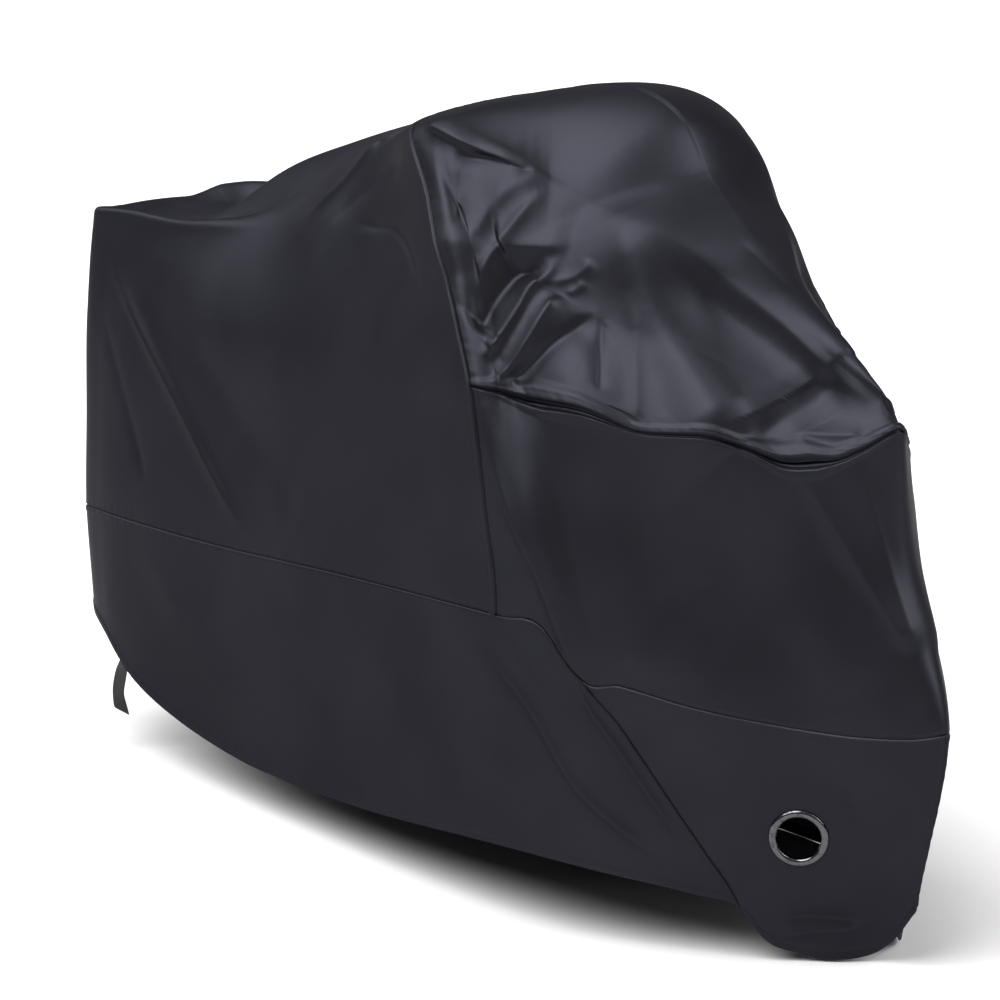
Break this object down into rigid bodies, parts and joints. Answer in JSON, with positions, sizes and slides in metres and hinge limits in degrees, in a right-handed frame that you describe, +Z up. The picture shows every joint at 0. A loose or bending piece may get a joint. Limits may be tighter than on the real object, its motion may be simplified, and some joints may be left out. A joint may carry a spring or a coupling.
{
  "type": "motorcycle cover",
  "caption": "Fitted outdoor cover as it drapes over a motorcycle: a hollow cloth shell with a raised front hood, a long rear wall, a hem open to the floor and lock eyelets low at the front.",
  "frame": {"origin": "on the floor under the middle of the cover's bounding box", "axes": "+X towards the front wheel, +Y to the machine's left, +Z up"},
  "size_m": [2.0602, 0.7789, 1.2818],
  "materials": {
    "cloth": "smooth black polyester with a satin coating",
    "webbing": "matt black woven webbing",
    "eyelet": "polished dark nickel plate"
  },
  "bodies": {
    "root": {"hood_panel": "cloth", "front_panel": "cloth", "rear_panel": "cloth", "rear_skirt": "cloth", "wheel_cover_right": "cloth", "wheel_cover_left": "cloth", "eyelet_right": "eyelet", "eyelet_left": "eyelet", "tail_strap": "webbing"}
  },
  "joints": []
}
